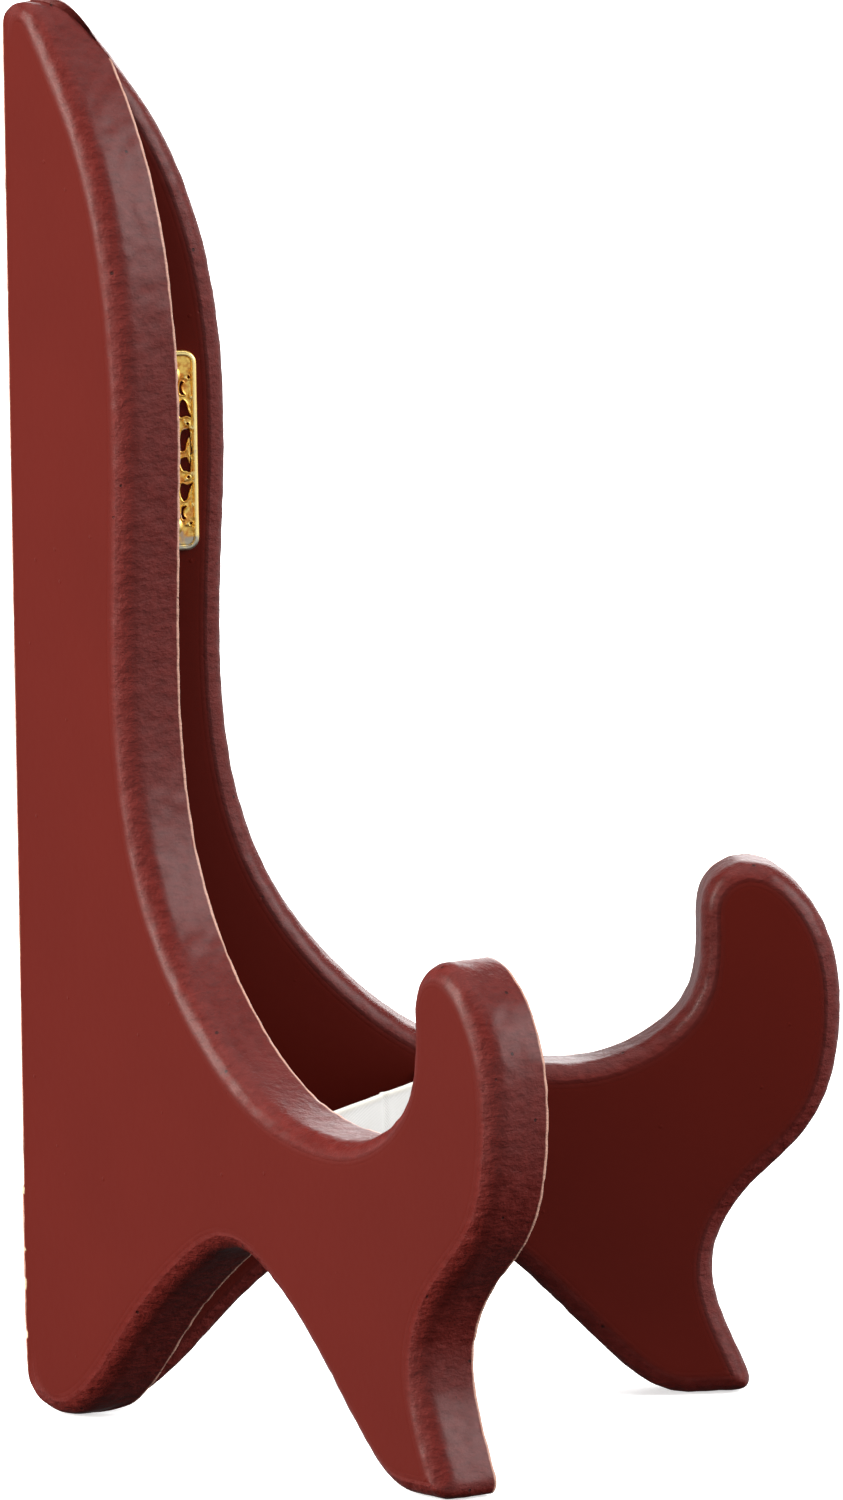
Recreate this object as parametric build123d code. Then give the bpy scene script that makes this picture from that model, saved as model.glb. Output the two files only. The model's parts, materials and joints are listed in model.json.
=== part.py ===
from build123d import *
from math import cos, radians, sin, tan
import os

# Folding stand for a display plate. Two boards of one outline stand on edge and open like a book about
# an upright hinge line. A tape stapled across the inside stops them at the working angle.
# Millimetres. +Z is up and the plate faces -Y. The left board is on the -X side.
# The origin is at table height, below the middle of the open stand.

# --- boards -------------------------------------------------------------------------------------------
board_thickness = 9.0
roundover = 3.0                # routed along one face of each board
opening_angle = 60.0           # between the inner faces when the tape is tight
corner_setback = 11.0          # back edge to the line where the two inner faces would meet
mitre_run = 11.3               # the back edge is cut back this far on the inner face

# The outline: forward from the back edge, and up from the table.
back_bottom = 6.0
back_top = 174.0
crown = (3.3, 177.3)           # highest point
cradle = (66.0, 42.3)          # lowest point of the curve that holds the plate
hook_wall = (82.5, 60.9)
hook_top = (88.7, 67.1)
belly = (100.1, 47.2)          # foremost point
toe_front = (87.2, 4.3)
toe_tip = (89.0, 0.0)          # the toe's corner before it is rounded
toe_radius = 1.5
sole_end = (80.0, 0.0)
arch_top = (43.5, 25.7)
heel_sole = (6.0, 0.0)         # the heel touches the table here

# --- hinges -------------------------------------------------------------------------------------------
hinge_middles = {"lower": 40.0, "upper": 121.0}
hinge_height = 25.0
leaf_width = 7.4               # pin line to the leaf's free edge
leaf_thickness = 0.5
leaf_corner = 1.6
rim_width = 0.7
rim_height = 0.25
knuckle_count = 5
knuckle_radius = 1.2
knuckle_gap = 0.12             # end play between neighbouring knuckles
notch_gap = 0.2                # leaf to the other leaf's knuckles
board_gap = 0.05               # knuckle to the face of the board
pin_radius = 0.65
pin_head_radius = 1.05
pin_head_height = 0.4
press = 0.02                   # radial interference of a driven pin or nail
running_clearance = 0.05       # radial clearance of a knuckle that turns on the pin

lozenge_width = 3.2
lozenge_height = 3.0
lozenge_pitch = 4.4
lozenge_count = 3
pierced_reach = 4.2            # pin line to the middle of the pierced strip
eyelet_radius = 0.42
eyelet_spread = 1.7

nail_spread = 9.4              # a nail above and one below the middle of each leaf
nail_reach = 4.2
nail_radius = 0.5
nail_length = 7.0
nail_point = 1.2
nail_head_radius = 1.25
nail_head_height = 0.5
nail_hole_gap = 0.06

# --- stay tape ----------------------------------------------------------------------------------------
tape_thickness = 0.5
tape_width = 12.0
tape_top = 42.4
tape_forward = 34.8            # along the mid plane from the line where the inner faces would meet
tape_tab = 5.6
staple_wire = 0.5
staple_crown = 8.0
staple_leg = 6.0
staple_slot_gap = 0.1

over = 1.0                     # how far a cutter runs past what it cuts
half_angle = radians(opening_angle / 2)
pin_offset = knuckle_radius + board_gap
pin_setback = corner_setback + pin_offset / tan(half_angle)
tape_setback = corner_setback + tape_forward / cos(half_angle)

# Everything on a board is drawn on the left board's inner face, in a plane with X forward from the back
# edge, Y up from the table and Z outward through the board. The hinge pins stand on the Z axis until the
# finished stand is moved over the origin.
left_forward = Vector(-sin(half_angle), -cos(half_angle), 0)
left_outward = Vector(-cos(half_angle), sin(half_angle), 0)
left_plane = Plane(
    origin=left_outward * pin_offset - left_forward * pin_setback,
    x_dir=left_forward,
    z_dir=left_outward,
)


def place(shape, side):
    """Put a shape drawn on the left board's inner face on the left or the right side of the stand."""
    placed = left_plane * shape
    if side == "right":
        placed = mirror(placed, about=Plane.YZ)
    return placed


def smooth(points, start, end):
    """Spline through the points that leaves along start and arrives along end."""
    return Spline(*points, tangents=[start, end], tangent_scalars=[1, 1])


def upright(radius, low, high, x, z):
    """Cylinder from height low to height high."""
    return Plane((x, low, z), z_dir=(0, 1, 0)) * Cylinder(
        radius, high - low, align=(Align.CENTER, Align.CENTER, Align.MIN)
    )


def block(x, y, z):
    """Box between three (low, high) pairs."""
    low, high = zip(x, y, z)
    return Pos(*low) * Box(*(b - a for a, b in zip(low, high)), align=Align.MIN)


def board_face():
    """Outline of a board, clockwise from the foot of the back edge, with its toe rounded."""
    back = Line((0, back_bottom), (0, back_top))
    top = TangentArc((0, back_top), crown, tangent=(0, 1))
    front = smooth([crown, (9.2, 172.6), (16.6, 161.5), (22.0, 146.9), (24.3, 123.7), (23.4, 91.7),
                    (28.0, 68.9), (39.0, 53.5), (51.5, 44.9), cradle], (1, 0), (1, 0))
    hollow = smooth([cradle, (75.6, 44.9), (81.2, 50.3), hook_wall], (1, 0), (0, 1))
    tip = TangentArc(hook_wall, hook_top, tangent=(0, 1))
    nose = smooth([hook_top, (96.4, 62.1), belly, (95.9, 33.3), (86.9, 24.3), (83.6, 16.7), toe_front],
                  (1, 0), (toe_tip[0] - toe_front[0], -toe_front[1]))
    toe = Line(toe_front, toe_tip)
    sole = Line(toe_tip, sole_end)
    arch = smooth([sole_end, (70.5, 5.3), (60.5, 15.5), (51.5, 22.7), arch_top, (34.5, 21.9), (23.2, 12.7),
                   (13.0, 2.8), heel_sole], (-1, 0), (-1, 0))
    heel = TangentArc(heel_sole, (0, back_bottom), tangent=(-1, 0))
    face = Face(Wire([back, top, front, hollow, tip, nose, toe, sole, arch, heel]))
    corner = face.vertices().sort_by_distance((toe_tip[0], toe_tip[1], 0))[0]
    return face.fillet_2d(toe_radius, [corner])


def mitre_cutter():
    """Wedge that slopes the back edge, so that the boards can open in front of each other."""
    slope = board_thickness / mitre_run
    wedge = Polyline(
        (-over, -over),
        ((board_thickness + over) / slope, -over),
        (-over, board_thickness + over * slope),
        close=True,
    )
    return extrude(Plane.XZ * make_face(wedge), -(crown[1] + over))


def nail_spots(middle):
    """Places of a leaf's nails, by name."""
    x = pin_setback + nail_reach
    return {"top": (x, middle + nail_spread), "bottom": (x, middle - nail_spread)}


def staple_blocks(gap):
    """The two legs of a staple, with a gap all round them."""
    x = tape_setback - tape_tab / 2
    middle = tape_top - tape_width / 2
    half = staple_wire / 2 + gap
    legs = []
    for y in (middle - staple_crown / 2 + staple_wire / 2, middle + staple_crown / 2 - staple_wire / 2):
        legs.append(block((x - half, x + half), (y - half, y + half),
                          (-tape_thickness - staple_wire, staple_leg)))
    return legs


def board(rounded_height):
    """One board, with the routed edge on the face at the given height above the inner face.

    The router stops short of the back edge, which stays sharp, so its cut there is filled again.
    """
    solid = Solid.extrude(board_face(), Vector(0, 0, board_thickness))
    rim = [edge for edge in solid.edges()
           if abs(edge.center().Z - rounded_height) < board_thickness / 4
           and edge.bounding_box().size.Z < board_thickness / 4
           and edge.bounding_box().max.X > over]
    solid = solid.fillet(roundover, rim)
    back_strip = block((0, roundover), (back_bottom + roundover, back_top - roundover),
                       (board_thickness - roundover, board_thickness))
    shape = Part(solid.wrapped) + back_strip - mitre_cutter()
    for middle in hinge_middles.values():
        for x, y in nail_spots(middle).values():
            depth = nail_length - leaf_thickness
            hole = Pos(x, y, -over) * Cylinder(
                nail_radius - press, depth + over, align=(Align.CENTER, Align.CENTER, Align.MIN)
            )
            shape -= hole
    for leg in staple_blocks(-press):
        shape -= leg
    return shape


def leaf(middle, own, bore):
    """Hinge leaf on the inner face, with the knuckles whose numbers are in own."""
    low = middle - hinge_height / 2
    high = middle + hinge_height / 2
    x = pin_setback
    plate = block((x, x + leaf_width), (low, high), (-leaf_thickness, 0))
    bead = block((x, x + leaf_width), (low, high), (-leaf_thickness - rim_height, -leaf_thickness))
    bead -= block((x - over, x + leaf_width - rim_width), (low + rim_width, high - rim_width), (-over, 0))
    shape = plate + bead
    outer_corners = shape.edges().filter_by(Axis.Z).group_by(Axis.X)[-1]
    shape = fillet(outer_corners, leaf_corner)

    pitch = hinge_height / knuckle_count
    for number in range(knuckle_count):
        start = low + number * pitch
        if number in own:
            shape += upright(knuckle_radius, start + knuckle_gap / 2, start + pitch - knuckle_gap / 2,
                             x, -pin_offset)
        else:
            reach = knuckle_radius + notch_gap
            shape -= block((x - over, x + reach), (start - knuckle_gap / 2, start + pitch + knuckle_gap / 2),
                           (-over, over))
    shape -= upright(bore, low - over, high + over, x, -pin_offset)
    for spot in nail_spots(middle).values():
        shape -= Pos(*spot, 0) * Cylinder(nail_radius + nail_hole_gap, 4 * leaf_thickness)
    return shape - piercings(middle)


def piercings(middle):
    """Lozenges in a column, with small round eyelets in the spaces between them."""
    x = pin_setback + pierced_reach
    lozenge = make_face(Polyline((-lozenge_width / 2, 0), (0, lozenge_height / 2), (lozenge_width / 2, 0),
                                 (0, -lozenge_height / 2), close=True))
    cutters = []
    for number in range(lozenge_count):
        y = middle + (number - (lozenge_count - 1) / 2) * lozenge_pitch
        cutters.append(Pos(x, y, -over) * extrude(lozenge, 2 * over))
    for number in range(lozenge_count - 1):
        y = middle + (number - (lozenge_count - 2) / 2) * lozenge_pitch
        for side in (-1, 1):
            cutters.append(Pos(x + side * eyelet_spread, y, 0) * Cylinder(eyelet_radius, 2 * over))
    return Part() + cutters


def hinge_pin(middle):
    """Wire pin with both ends peened over the outer knuckles."""
    low = middle - hinge_height / 2 + knuckle_gap / 2
    high = middle + hinge_height / 2 - knuckle_gap / 2
    shape = upright(pin_radius, low, high, pin_setback, -pin_offset)
    shape += upright(pin_head_radius, high, high + pin_head_height, pin_setback, -pin_offset)
    shape += upright(pin_head_radius, low - pin_head_height, low, pin_setback, -pin_offset)
    rims = [edge for edge in shape.edges()
            if edge.center().Y > high + pin_head_height / 2 or edge.center().Y < low - pin_head_height / 2]
    return chamfer(rims, pin_head_height / 2)


def nail(x, y):
    """Round-headed nail, driven outward through the leaf."""
    head = -leaf_thickness
    tip = head + nail_length
    crest = (0, head - nail_head_height)
    rim = (nail_head_radius, head)
    shank = Polyline(rim, (nail_radius, head), (nail_radius, tip - nail_point), (0, tip), crest)
    dome = TangentArc(crest, rim, tangent=(1, 0))
    profile = make_face([dome, shank])
    return Pos(x, y, 0) * revolve(Plane.XZ * profile, Axis.Z)


def staple():
    """Wire staple across the end of the tape."""
    x = tape_setback - tape_tab / 2
    middle = tape_top - tape_width / 2
    shape = block((x - staple_wire / 2, x + staple_wire / 2),
                  (middle - staple_crown / 2, middle + staple_crown / 2),
                  (-tape_thickness - staple_wire, -tape_thickness))
    for leg in staple_blocks(0):
        shape += leg
    return shape


def tape():
    """Tape straight across between the inner faces, with its ends turned back and stapled flat."""
    bend = tape_thickness * (1 + sin(half_angle)) / cos(half_angle)
    drawn = [
        (tape_setback, 0),
        (tape_setback - tape_tab, 0),
        (tape_setback - tape_tab, -tape_thickness),
        (tape_setback - bend, -tape_thickness),
    ]
    left = [left_plane.from_local_coords(Vector(x, 0, z)) for x, z in drawn]
    right = [Vector(-point.X, point.Y, 0) for point in reversed(left)]
    section = make_face(Polyline(*left, *right, close=True))
    shape = Pos(0, 0, tape_top - tape_width) * extrude(section, tape_width, dir=(0, 0, 1))
    for side in ("left", "right"):
        for leg in staple_blocks(staple_slot_gap):
            shape -= place(leg, side)
    return shape


def build():
    """Every node of the stand, by name."""
    nodes = {
        "left_board": place(board(board_thickness), "left"),
        "right_board": place(board(0), "right"),
        "stay_tape": tape(),
    }
    knuckles = {"left": range(0, knuckle_count, 2), "right": range(1, knuckle_count, 2)}
    bores = {"left": pin_radius - press, "right": pin_radius + running_clearance}
    for side in ("left", "right"):
        nodes[f"{side}_staple"] = place(staple(), side)
        for level, middle in hinge_middles.items():
            nodes[f"{level}_{side}_leaf"] = place(leaf(middle, knuckles[side], bores[side]), side)
            for end, spot in nail_spots(middle).items():
                nodes[f"{level}_{side}_{end}_nail"] = place(nail(*spot), side)
    for level, middle in hinge_middles.items():
        nodes[f"{level}_pin"] = place(hinge_pin(middle), "left")
    return nodes


nodes = build()
outer_box = (nodes["left_board"] + nodes["right_board"]).bounding_box()
to_origin = Pos(-outer_box.center().X, -outer_box.center().Y, 0)
os.makedirs("parts", exist_ok=True)
for name, shape in nodes.items():
    export_step(to_origin * shape, f"parts/{name}.step")
print("hinge pins at", to_origin.position, "outer size", outer_box.size)
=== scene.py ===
# %% [markdown]
# # A folding stand for a display plate
#
# Two painted boards stand on edge and open like a book. A plate sits in the two hooked cradles, two small
# brass hinges join the boards at the back, and a woven tape across the inside stops them at the working
# angle. The sizes and the moving joint come from the engineering model, which is loaded first. Everything
# made below sits round that model: it adds the routed and rubbed edges, the stamped brass and the woven
# cloth that a plain solid can't show.

# %% Load the engineering model
import json
import math

import bmesh
import bpy
import numpy as np
from mathutils import Matrix, Vector, noise
from mathutils.geometry import delaunay_2d_cdt

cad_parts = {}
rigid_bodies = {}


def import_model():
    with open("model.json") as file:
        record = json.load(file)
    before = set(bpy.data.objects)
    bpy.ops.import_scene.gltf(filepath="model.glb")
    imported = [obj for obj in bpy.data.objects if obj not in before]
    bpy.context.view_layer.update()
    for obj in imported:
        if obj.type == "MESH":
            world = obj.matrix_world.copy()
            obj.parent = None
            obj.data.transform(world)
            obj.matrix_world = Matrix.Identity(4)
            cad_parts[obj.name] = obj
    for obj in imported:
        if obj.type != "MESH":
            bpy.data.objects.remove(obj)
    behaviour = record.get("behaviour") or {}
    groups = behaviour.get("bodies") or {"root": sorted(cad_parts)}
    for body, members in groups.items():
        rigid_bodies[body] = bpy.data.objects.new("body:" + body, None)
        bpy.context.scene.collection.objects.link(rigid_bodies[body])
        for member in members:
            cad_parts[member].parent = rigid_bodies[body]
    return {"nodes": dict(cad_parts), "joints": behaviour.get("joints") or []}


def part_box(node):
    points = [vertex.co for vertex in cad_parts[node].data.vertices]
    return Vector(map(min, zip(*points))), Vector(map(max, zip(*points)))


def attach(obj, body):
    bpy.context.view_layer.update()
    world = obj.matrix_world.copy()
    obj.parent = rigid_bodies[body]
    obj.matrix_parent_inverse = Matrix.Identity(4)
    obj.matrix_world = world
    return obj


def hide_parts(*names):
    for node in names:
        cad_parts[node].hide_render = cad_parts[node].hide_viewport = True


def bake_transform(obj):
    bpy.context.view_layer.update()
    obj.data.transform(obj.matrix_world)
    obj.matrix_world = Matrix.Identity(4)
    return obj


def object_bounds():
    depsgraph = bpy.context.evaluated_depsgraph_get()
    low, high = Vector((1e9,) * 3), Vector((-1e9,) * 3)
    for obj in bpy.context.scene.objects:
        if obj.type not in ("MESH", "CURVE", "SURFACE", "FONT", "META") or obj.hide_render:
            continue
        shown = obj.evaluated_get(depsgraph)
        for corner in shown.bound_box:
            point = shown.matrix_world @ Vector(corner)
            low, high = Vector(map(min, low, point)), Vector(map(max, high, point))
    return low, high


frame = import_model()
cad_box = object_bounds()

MM = 0.001
print("loaded", len(frame["nodes"]), "solid pieces, box", [round(v, 4) for v in (*cad_box[0], *cad_box[1])])

# %% [markdown]
# ## The boards' own directions
#
# A maker lays out one board flat on the bench: forward from its back edge, up from the table, and outward
# through its thickness. It is far easier to draw hinges and edges that way than in the finished stand,
# where each board is turned by half the opening angle. So each side of the stand gets a small object that
# turns bench measurements in millimetres into places in the stand, and back. Its zero points are measured
# on the board itself.

# %% A bench for each side
fold = frame["joints"][0]
half_opening = math.radians(-fold["range_deg"][0]) / 2
pin_line = np.array(fold["pos_m"])


class Bench:
    """One side of the stand, measured forward, up and outward in millimetres from its board's back edge."""

    def __init__(self, name, sign, back_edge):
        self.name = name
        self.body = f"{name}_side"
        forward = (sign * math.sin(half_opening), -math.cos(half_opening), 0)
        outward = (sign * math.cos(half_opening), math.sin(half_opening), 0)
        self.axes = np.array([forward, (0, 0, 1), outward])
        self.origin = np.array((pin_line[0], pin_line[1], 0))
        corners = self.measure(points_of(f"{name}_board"))
        self.origin = self.stand([[back_edge, 0, corners[:, 2].min()]])[0]
        self.pin = self.measure([pin_line])[0]

    def measure(self, points):
        """Places in the stand as bench millimetres."""
        return (np.array(points) - self.origin) @ self.axes.T / MM

    def stand(self, points):
        """Bench millimetres as places in the stand."""
        return self.origin + np.array(points) @ self.axes * MM


def points_of(node):
    """The corner points of one of the engineering model's pieces."""
    return np.array([vertex.co for vertex in frame["nodes"][node].data.vertices])


pin_setback = 13.165  # from a board's back edge forward to the hinge line, in the engineering model
benches = {"left": Bench("left", -1, -pin_setback), "right": Bench("right", 1, -pin_setback)}
right_board = benches["right"].measure(points_of("right_board"))
thickness = right_board[:, 2].max()
for bench in benches.values():
    print(bench.name, "hinge line, bench mm:", np.round(bench.pin[[0, 2]], 3),
          "board", round(thickness, 3), "thick")

# %% [markdown]
# ## Lines on a board
#
# The boards are sawn to one outline. It is read off the sharp face of the right board, where nothing has
# been rounded away, and its points are spread evenly so that the edges can be textured evenly. The helpers
# here answer the two questions that every later step asks: how far is a spot from a line, and is it inside.

# %% Even lines and distances
def even_steps(line, step, closed=True):
    """The same line with its points an even step apart."""
    run = np.vstack([line, line[:1]]) if closed else np.array(line, float)
    along = np.r_[0, np.cumsum(np.linalg.norm(np.diff(run, axis=0), axis=1))]
    count = max(2, round(along[-1] / step))
    at = np.linspace(0, along[-1], count, endpoint=False) if closed else np.linspace(0, along[-1], count + 1)
    return np.column_stack([np.interp(at, along, run[:, axis]) for axis in range(run.shape[1])])


def eased(loop, rounds):
    """A closed line with its small corners softened."""
    for _ in range(rounds):
        loop = (np.roll(loop, 1, axis=0) + 2 * loop + np.roll(loop, -1, axis=0)) / 4
    return loop


def signed_area(loop):
    """Positive for a line that runs counter-clockwise."""
    ends = np.roll(loop, -1, axis=0)
    return (loop[:, 0] * ends[:, 1] - loop[:, 1] * ends[:, 0]).sum() / 2


def distance_to(points, lines, closed=True):
    """How far each point is from the nearest of some lines made of short straight runs."""
    starts = np.vstack([line if closed else line[:-1] for line in lines])
    runs = np.vstack([np.roll(line, -1, axis=0) if closed else line[1:] for line in lines]) - starts
    squares = np.maximum((runs ** 2).sum(axis=1), 1e-12)
    batch = 1500
    nearest = np.empty(len(points))
    for first in range(0, len(points), batch):
        offset = points[first:first + batch, None, :] - starts
        share = np.clip((offset[..., 0] * runs[:, 0] + offset[..., 1] * runs[:, 1]) / squares, 0, 1)
        across = offset[..., 0] - share * runs[:, 0]
        up = offset[..., 1] - share * runs[:, 1]
        nearest[first:first + batch] = np.sqrt((across ** 2 + up ** 2).min(axis=1))
    return nearest


def inside(points, loops):
    """True where a point lies inside an odd number of the closed lines."""
    starts = np.vstack(loops)
    ends = np.vstack([np.roll(loop, -1, axis=0) for loop in loops])
    level = ends[:, 1] == starts[:, 1]
    slope = (ends[:, 0] - starts[:, 0]) / np.where(level, 1, ends[:, 1] - starts[:, 1])
    across, up = points[:, :1], points[:, 1:]
    spans = (starts[:, 1] > up) != (ends[:, 1] > up)
    left_of = across < starts[:, 0] + (up - starts[:, 1]) * slope
    return (spans & left_of).sum(axis=1) % 2 == 1


def ramp(value, low, high):
    """0 at low, 1 at high, and a smooth climb or fall between them."""
    share = np.clip((value - low) / (high - low), 0, 1)
    return share * share * (3 - 2 * share)


# %% Read the sawn outline
def sawn_outline(bench, step):
    """The outline of the board's sharp outer face, counter-clockwise from any point, in bench millimetres."""
    copy = bmesh.new()
    copy.from_mesh(frame["nodes"][f"{bench.name}_board"].data)
    bmesh.ops.remove_doubles(copy, verts=copy.verts, dist=1e-6)
    places = bench.measure([vertex.co for vertex in copy.verts])
    outer = {vertex for vertex in copy.verts if places[vertex.index][2] > thickness - 1e-3}
    flat = {face for face in copy.faces if outer.issuperset(face.verts)}
    onward = {}
    for face in flat:
        for loop in face.loops:
            if loop.link_loop_radial_next.face not in flat:
                onward[loop.vert] = loop.link_loop_next.vert
    walk = [next(iter(sorted(onward, key=lambda vertex: vertex.index)))]
    while onward[walk[-1]] is not walk[0]:
        walk.append(onward[walk[-1]])
    loop = np.array([places[vertex.index][:2] for vertex in walk])
    copy.free()
    if signed_area(loop) < 0:
        loop = loop[::-1]
    return eased(even_steps(loop, step), 4)


outline = sawn_outline(benches["right"], step=0.55)
print("sawn outline:", len(outline), "points, height", round(float(outline[:, 1].max()), 2), "mm")

# %% [markdown]
# ## A shell between two surfaces
#
# A board, and a hinge leaf stamped from thin plate, are the same kind of thing: an outline, perhaps with
# holes, closed by a lower and an upper surface that may rise and fall. A cube or a stack of modifiers would
# give no control of the rows of points beside the edges, and it is there that the routed curve, the rubbed
# corner and the stamped bead are seen. So this builder lays rows of points at chosen distances from each
# edge, fills the middle with a coarser grid, joins all of them with a triangulation that keeps the rows, and
# closes the sides with a wall.

# %% Fill an outline with rows and a grid
def rows_beside(loops, rows):
    """Points at each distance in rows from the lines, with the pairs that follow each other along a row."""
    points, pairs = [], []
    for number, loop in enumerate(loops):
        along = np.roll(loop, -1, axis=0) - np.roll(loop, 1, axis=0)
        along /= np.linalg.norm(along, axis=1)[:, None]
        turn = np.sign(signed_area(loop)) * (1 if number == 0 else -1)
        inward = np.column_stack([-along[:, 1], along[:, 0]]) * turn
        for distance in rows:
            row = loop + inward * distance
            clear = inside(row, loops) & (distance_to(row, loops) > distance * 0.985 - 1e-4)
            places = np.cumsum(clear) - 1 + len(points)
            points += row[clear].tolist()
            for here in range(len(loop)):
                after = (here + 1) % len(loop)
                if clear[here] and clear[after]:
                    pairs.append((int(places[here]), int(places[after])))
    return points, pairs


def fill(loops, rows, grid, creases=()):
    """Triangles that fill the first loop, apart from the other loops, which are holes.

    Gives the points, the triangles, and for each loop the numbers of its own points."""
    points, pairs, owned = [], [], []
    for loop in loops:
        first = len(points)
        owned.append(range(first, first + len(loop)))
        points += loop.tolist()
        pairs += [(first + here, first + (here + 1) % len(loop)) for here in range(len(loop))]
    row_points, row_pairs = rows_beside(loops, rows)
    pairs += [(a + len(points), b + len(points)) for a, b in row_pairs]
    points += row_points
    for crease in creases:
        first = len(points)
        points += crease.tolist()
        pairs += [(first + here, first + here + 1) for here in range(len(crease) - 1)]

    low, high = loops[0].min(axis=0), loops[0].max(axis=0)
    across, up = np.meshgrid(np.arange(low[0], high[0], grid), np.arange(low[1], high[1], grid * 0.87))
    across = across + (np.arange(len(across)) % 2 * grid / 2)[:, None]
    middle = np.column_stack([across.ravel(), up.ravel()])
    middle = middle[inside(middle, loops)]
    middle = middle[distance_to(middle, loops) > rows[-1] + grid * 0.45]
    for crease in creases:
        middle = middle[distance_to(middle, [crease], closed=False) > grid * 0.45]
    points += middle.tolist()

    found = delaunay_2d_cdt([Vector(point) for point in points], pairs, [], 0, 1e-7)
    spots = np.array([tuple(spot) for spot in found[0]])
    triangles = np.array(found[2])
    triangles = triangles[inside(spots[triangles].mean(axis=1), loops)]
    now = {old: new for new, olds in enumerate(found[3]) for old in olds}
    return spots, triangles, [[now[index] for index in group] for group in owned]


# %% Close two surfaces into one body
def closed_body(loops, low, high, low_fill, high_fill, wall_rows, thin=0.02):
    """A closed mesh between the surfaces low and high, which give a height for each point of a fill."""
    upper, upper_faces, upper_loops = high_fill
    lower, lower_faces, lower_loops = low_fill
    places = [*np.column_stack([upper, high(upper)])]
    first_lower = len(places)
    places += [*np.column_stack([lower, low(lower)])]
    same = np.arange(len(places))
    faces = [tuple(face) for face in upper_faces]
    walls = []
    for upper_loop, lower_loop in zip(upper_loops, lower_loops):
        columns = []
        for top, bottom in zip(upper_loop, lower_loop):
            bottom += first_lower
            if places[top][2] - places[bottom][2] < thin:
                same[bottom] = top
                columns.append([top] * (wall_rows + 1))
                continue
            shares = np.linspace(0, 1, wall_rows + 1)[1:-1]
            column = [top] + [len(places) + row for row in range(len(shares))] + [bottom]
            places += [places[top] * (1 - share) + places[bottom] * share for share in shares]
            columns.append(column)
        for here, after in zip(columns, columns[1:] + columns[:1]):
            for row in range(wall_rows):
                walls.append((here[row], here[row + 1], after[row + 1], after[row]))
    faces += [tuple(same[index + first_lower] for index in face[::-1]) for face in lower_faces]
    for wall in walls:
        kept = list(dict.fromkeys(wall))
        if len(kept) > 2:
            faces.append(tuple(kept))
    return np.array(places), faces


def solid_mesh(name, places, faces):
    """A mesh with its double points merged, no loose points, and its faces turned outward."""
    mesh = bpy.data.meshes.new(name)
    mesh.from_pydata([tuple(place) for place in places], [], [tuple(int(i) for i in face) for face in faces])
    work = bmesh.new()
    work.from_mesh(mesh)
    bmesh.ops.remove_doubles(work, verts=work.verts, dist=1e-4)
    bmesh.ops.dissolve_degenerate(work, edges=work.edges, dist=1e-5)
    bmesh.ops.delete(work, geom=[vertex for vertex in work.verts if not vertex.link_faces], context="VERTS")
    bmesh.ops.recalc_face_normals(work, faces=work.faces)
    work.to_mesh(mesh)
    work.free()
    return mesh


def turn_outward(mesh, merge_within=0.0):
    """Turn a closed mesh's faces outward, after merging points that lie that close together."""
    work = bmesh.new()
    work.from_mesh(mesh)
    if merge_within:
        bmesh.ops.remove_doubles(work, verts=work.verts, dist=merge_within)
    bmesh.ops.recalc_face_normals(work, faces=work.faces)
    work.to_mesh(mesh)
    work.free()


def add_piece(name, mesh, material, body=None, sharp=32):
    """Show a finished mesh as a piece of the stand."""
    mesh.materials.clear()
    mesh.materials.append(material)
    mesh.polygons.foreach_set("use_smooth", [True] * len(mesh.polygons))
    mesh.set_sharp_from_angle(angle=math.radians(sharp))
    piece = bpy.data.objects.new(name, mesh)
    bpy.context.scene.collection.objects.link(piece)
    if body:
        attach(piece, body)
    return piece


def read_places(mesh):
    """All the points of a mesh, as rows of three."""
    flat = np.empty(len(mesh.vertices) * 3)
    mesh.vertices.foreach_get("co", flat)
    return flat.reshape(-1, 3)


def write_places(mesh, places):
    """Move all the points of a mesh."""
    mesh.vertices.foreach_set("co", np.asarray(places, float).ravel())
    mesh.update()


def to_stand(mesh, bench):
    """Move a mesh from the bench to its place in the stand, and keep its faces turned outward."""
    write_places(mesh, bench.stand(read_places(mesh)))
    if np.linalg.det(bench.axes) < 0:
        mesh.flip_normals()


def paint_by(mesh, name, values):
    """Store one number for each point, for a finish to read."""
    mesh.attributes.new(name, "FLOAT", "POINT").data.foreach_set("value", np.asarray(values, np.float32))


def lumps(places, size, seed):
    """Smooth random lumps of about that size in millimetres, from -1 to 1, the same on every run."""
    shift = Vector((seed * 17.3, seed * 5.1, seed * 9.7))
    return np.array([noise.noise(Vector(place) / size + shift) for place in places])


print("shell builder ready")

# %% [markdown]
# ## Writing a finish as plain arithmetic
#
# A finish is a small recipe of nodes. Placing and wiring nodes by hand hides the idea behind dozens of
# lines, so one small class stands for a wire between two nodes, and adding, subtracting, multiplying or
# dividing wires adds the Math node that does it. Every other node comes from one method, which takes its
# settings first and then what goes into its sockets.

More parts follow.
